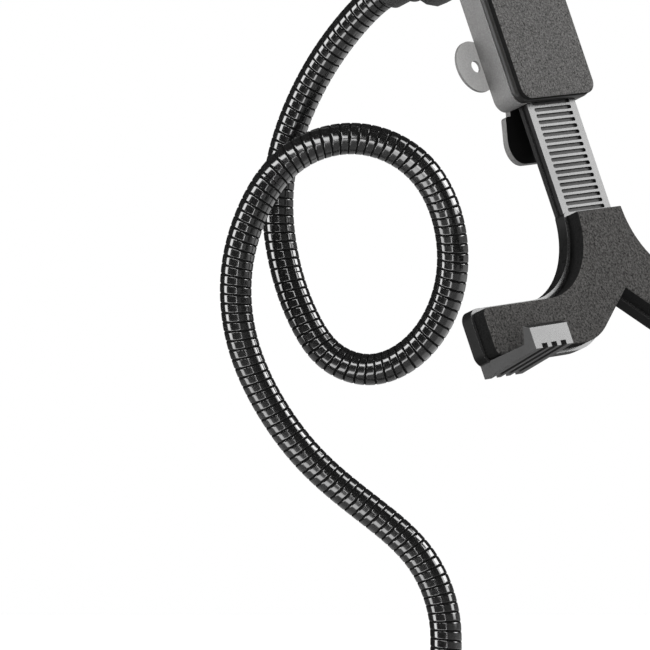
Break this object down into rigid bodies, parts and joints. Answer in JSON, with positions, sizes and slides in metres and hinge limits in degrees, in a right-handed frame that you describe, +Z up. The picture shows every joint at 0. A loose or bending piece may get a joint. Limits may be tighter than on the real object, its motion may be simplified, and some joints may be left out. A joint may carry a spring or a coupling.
{
  "type": "phone gooseneck holder",
  "caption": "Phone and tablet holder: foam-padded claw cradle with a sliding lower jaw, on a ball joint and a long bendable gooseneck, with a desk clamp at its foot.",
  "frame": {"origin": "middle of the clamp's seat pad, on the face that rests on the desk", "axes": "+Z up along the neck's foot, +X to the right of the picture, +Y away from the viewer"},
  "size_m": [0.2129, 0.1687, 0.4981],
  "materials": {
    "clamp_metal": "satin black",
    "pad_rubber": "matt",
    "screw_steel": "satin",
    "knob_plastic": "matt",
    "neck_black": "glossy black",
    "collar_plastic": "satin",
    "liner_plastic": "matt",
    "cradle_grey": "satin dark grey",
    "rack_grey": "satin grey",
    "foam": "matt speckled foam"
  },
  "bodies": {
    "base": {"clamp_frame": "clamp_metal", "seat_pad": "pad_rubber", "neck_foot": "clamp_metal", "neck_1": "neck_black"},
    "pressure": {"pressure_disc": "clamp_metal", "disc_pad": "pad_rubber"},
    "screw": {"clamp_screw": "screw_steel", "clamp_knob": "knob_plastic"},
    "stretch_2": {"neck_2": "neck_black"},
    "stretch_3": {"neck_3": "neck_black"},
    "stretch_4": {"neck_4": "neck_black"},
    "stretch_5": {"neck_5": "neck_black"},
    "stretch_6": {"neck_6": "neck_black"},
    "neck_top": {"neck_7": "neck_black", "neck_collar": "collar_plastic", "ball_stud": "screw_steel"},
    "liner": {"ball_liner": "liner_plastic"},
    "nut": {"lock_nut": "knob_plastic"},
    "cradle": {"rear_cover": "cradle_grey", "front_cover": "cradle_grey", "body_pad": "foam", "upper_jaw": "rack_grey", "upper_jaw_pad": "foam", "lever_pin": "screw_steel"},
    "jaw": {"lower_jaw": "rack_grey", "lower_jaw_pad": "foam"},
    "lever": {"release_lever": "cradle_grey"}
  },
  "joints": [
    {"name": "screw_feed", "type": "slide", "parent": "base", "child": "pressure", "axis": [0, 0, 1], "range_m": [-0.014, 0.02]},
    {"name": "screw_turn", "type": "hinge", "parent": "pressure", "child": "screw", "pos_m": [0, 0, -0.05], "axis": [0, 0, 1], "range_deg": [-1681, 2401]},
    {"name": "neck_bend_1", "type": "hinge", "parent": "base", "child": "stretch_2", "pos_m": [-0.00313, -0.00002, 0.05763], "axis": [0.9402, 0, 0.3406], "range_deg": [-20, 20]},
    {"name": "neck_bend_2", "type": "hinge", "parent": "stretch_2", "child": "stretch_3", "pos_m": [-0.0498, -0.00111, 0.10588], "axis": [0.0278, -0.9992, -0.0298], "range_deg": [-20, 20]},
    {"name": "neck_bend_3", "type": "hinge", "parent": "stretch_3", "child": "stretch_4", "pos_m": [-0.07646, -0.00373, 0.16871], "axis": [0.9996, 0, -0.0275], "range_deg": [-20, 20]},
    {"name": "neck_bend_4", "type": "hinge", "parent": "stretch_4", "child": "stretch_5", "pos_m": [-0.02759, -0.00366, 0.22132], "axis": [-0.0659, 0.9977, 0.0137], "range_deg": [-20, 20]},
    {"name": "neck_bend_5", "type": "hinge", "parent": "stretch_5", "child": "stretch_6", "pos_m": [-0.00403, 0.00631, 0.15414], "axis": [-0.0651, -0.9918, -0.1097], "range_deg": [-20, 20]},
    {"name": "neck_bend_6", "type": "hinge", "parent": "stretch_6", "child": "neck_top", "pos_m": [-0.04547, 0.00619, 0.24887], "axis": [0.851, 0, -0.5252], "range_deg": [-20, 20]},
    {"name": "cradle_tilt", "type": "hinge", "parent": "neck_top", "child": "liner", "pos_m": [-0.0003, -0.0295, 0.2856], "axis": [0.6674, 0.7381, 0.0987], "range_deg": [-16, 16]},
    {"name": "cradle_swing", "type": "hinge", "parent": "liner", "child": "nut", "pos_m": [-0.0003, -0.0295, 0.2856], "axis": [-0.3076, 0.1525, 0.9392], "range_deg": [-16, 16]},
    {"name": "cradle_spin", "type": "hinge", "parent": "nut", "child": "cradle", "pos_m": [-0.0003, -0.0295, 0.2856], "axis": [0.6782, -0.6572, 0.3289], "continuous": true},
    {"name": "jaw_slide", "type": "slide", "parent": "cradle", "child": "jaw", "axis": [0.3076, -0.1525, -0.9392], "range_m": [-0.036, 0.028]},
    {"name": "lever_press", "type": "hinge", "parent": "cradle", "child": "lever", "pos_m": [0.02865, -0.0497, 0.24087], "axis": [-0.6674, -0.7381, -0.0987], "range_deg": [0, 8], "stiffness_Nm_per_rad": 0.08, "springref_deg": -8.59}
  ],
  "couplings": [
    {"joint": "screw_turn", "follows": "screw_feed", "rad_per_m": 2094.4}
  ]
}
